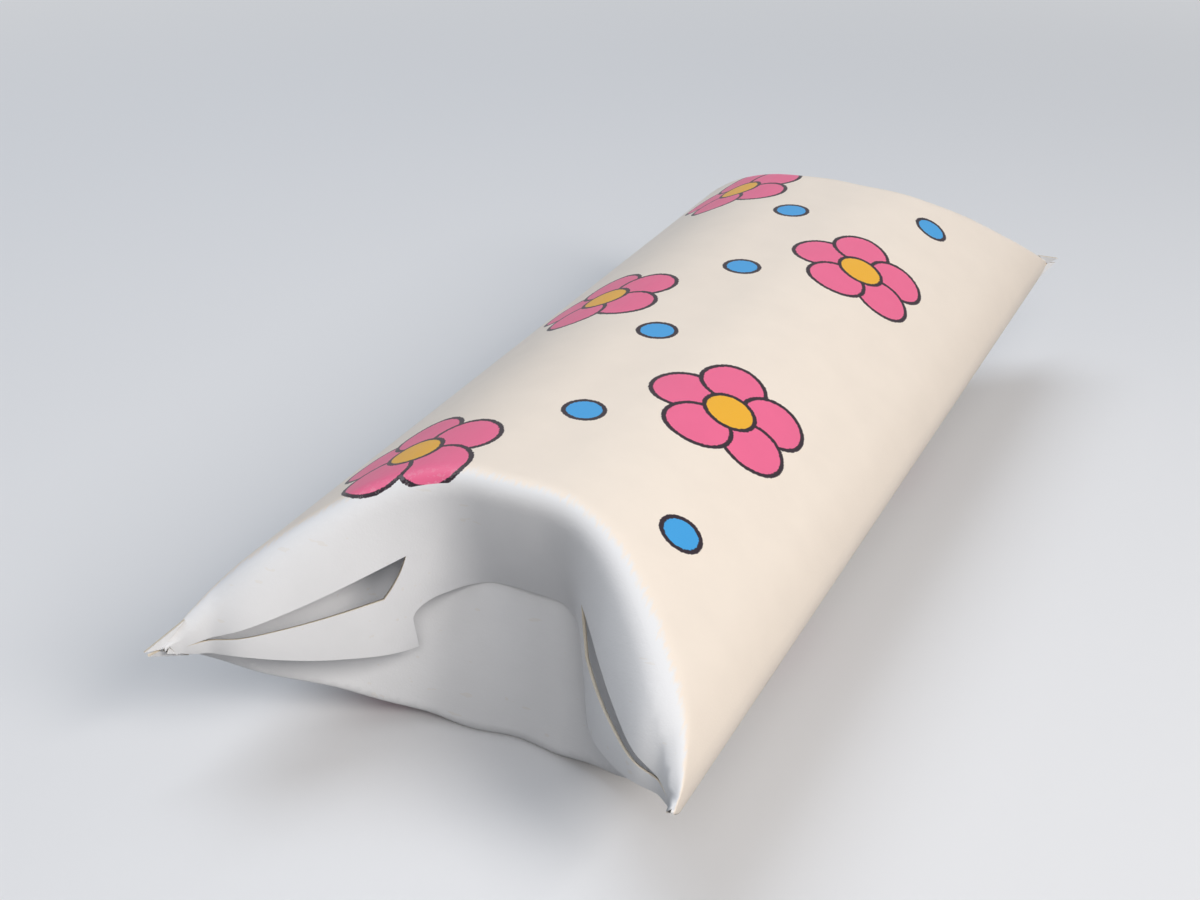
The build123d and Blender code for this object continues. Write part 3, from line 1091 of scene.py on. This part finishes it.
def area_light(name, place, size, power, colour):
    """Square light that faces the box."""
    lamp = bpy.data.lights.new(name, "AREA")
    lamp.shape = "SQUARE"
    lamp.size = size
    lamp.energy = power
    lamp.color = colour
    holder = placed(name, lamp)
    holder.location = place
    to_box = Vector(LIGHT_AIM) - Vector(place)
    holder.rotation_euler = to_box.to_track_quat("-Z", "Y").to_euler()


def studio_camera():
    """Camera that sees the box as the photo does."""
    camera = bpy.data.cameras.new("camera")
    camera.lens = CAMERA_LENS
    camera.sensor_width = SENSOR_WIDTH
    camera.clip_start = CLIP_START
    eye = placed("camera", camera)
    place, aim = Vector(CAMERA_PLACE) * MM, Vector(CAMERA_AIM) * MM
    roll = Matrix.Rotation(math.radians(CAMERA_ROLL), 3, "Z")
    turn = (aim - place).to_track_quat("-Z", "Y").to_matrix() @ roll
    eye.matrix_world = Matrix.Translation(place) @ turn.to_4x4()
    return eye


class PILLOWBOX_OT_stage(bpy.types.Operator):
    """Build the floor, the lights, the world and the camera"""

    bl_idname = "pillow_box.stage"
    bl_label = "Stage"

    def execute(self, context):
        scene = context.scene
        corners = [
            (x * FLOOR_REACH, y * FLOOR_REACH, 0) for x, y in ((-1, -1), (1, -1), (1, 1), (-1, 1))
        ]
        mesh = bpy.data.meshes.new("studio_floor")
        mesh.from_pydata(corners, [], [(0, 1, 2, 3)])
        mesh.materials.append(floor_finish(scene.pillow_box_finishes))
        floor = placed("studio_floor", mesh)
        for light in LIGHTS:
            area_light(*light)
        scene.world = studio_world()
        scene.camera = studio_camera()
        scene.view_settings.view_transform = "Standard"
        return {"FINISHED"}


class PILLOWBOX_OT_panels(bpy.types.Operator):
    """Build the two arched panels with their print"""

    bl_idname = "pillow_box.panels"
    bl_label = "Panels"

    def execute(self, context):
        card = FoldedCard(context.scene.pillow_box_sizes)
        printed, _ = card_finishes(context.scene)
        for name, side in (("top_panel", UPPER), ("bottom_panel", LOWER)):
            piece = panel_piece(f"{name}_card", card, side, printed)
            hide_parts(name)
            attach(piece, "tube")
        return {"FINISHED"}


class PILLOWBOX_OT_flaps(bpy.types.Operator):
    """Build the four curved flaps"""

    bl_idname = "pillow_box.flaps"
    bl_label = "Flaps"

    def execute(self, context):
        card = FoldedCard(context.scene.pillow_box_sizes)
        _, plain = card_finishes(context.scene)
        for end_name, end in (("front", FRONT), ("rear", REAR)):
            for flap_name, side in (("outer_flap", UPPER), ("inner_flap", LOWER)):
                name = f"{end_name}_{flap_name}"
                piece = flap_piece(f"{name}_card", card, end, side, plain)
                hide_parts(name)
                fold_with(piece)
            ears = ear_piece(f"{end_name}_corner_ears", card, end, plain)
            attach(ears, "tube")
        return {"FINISHED"}


class PILLOWBOX_OT_seam(bpy.types.Operator):
    """Finish the glue tab and the glue of the side seam"""

    bl_idname = "pillow_box.seam"
    bl_label = "Seam"

    def execute(self, context):
        finishes = context.scene.pillow_box_finishes
        _, plain = card_finishes(context.scene)
        for name, material in (("glue_tab", plain[0]), ("seam_glue", dried_glue(finishes))):
            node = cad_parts[name]
            node.data.materials.clear()
            node.data.materials.append(material)
        return {"FINISHED"}


class PILLOWBOX_PT_panel(bpy.types.Panel):
    """Pillow box controls in the sidebar"""

    bl_idname = "PILLOWBOX_PT_panel"
    bl_label = "Pillow Box"
    bl_space_type = "VIEW_3D"
    bl_region_type = "UI"
    bl_category = "Pillow Box"

    def draw(self, context):
        layout = self.layout
        for group in GROUPS:
            settings = getattr(context.scene, group)
            column = layout.column(align=True)
            for name in type(settings).__annotations__:
                column.prop(settings, name)
        for operator in OPERATORS:
            layout.operator(operator.bl_idname)


OPERATORS = (PILLOWBOX_OT_stage, PILLOWBOX_OT_panels, PILLOWBOX_OT_flaps, PILLOWBOX_OT_seam)
GROUPS = {
    "pillow_box_sizes": PillowBoxSizes,
    "pillow_box_print": PillowBoxPrint,
    "pillow_box_finishes": PillowBoxFinishes,
}
CLASSES = (*GROUPS.values(), *OPERATORS, PILLOWBOX_PT_panel)


def register():
    """Add the classes and the scene's settings."""
    for cls in CLASSES:
        bpy.utils.register_class(cls)
    for name, group in GROUPS.items():
        setattr(bpy.types.Scene, name, bpy.props.PointerProperty(type=group))


def unregister():
    """Take the scene's settings and the classes away again."""
    for name in GROUPS:
        delattr(bpy.types.Scene, name)
    for cls in reversed(CLASSES):
        bpy.utils.unregister_class(cls)


def main():
    """Build the scene with the operators."""
    register()
    for operator in OPERATORS:
        group, _, action = operator.bl_idname.partition(".")
        getattr(getattr(bpy.ops, group), action)()


if __name__ == "__main__":
    main()
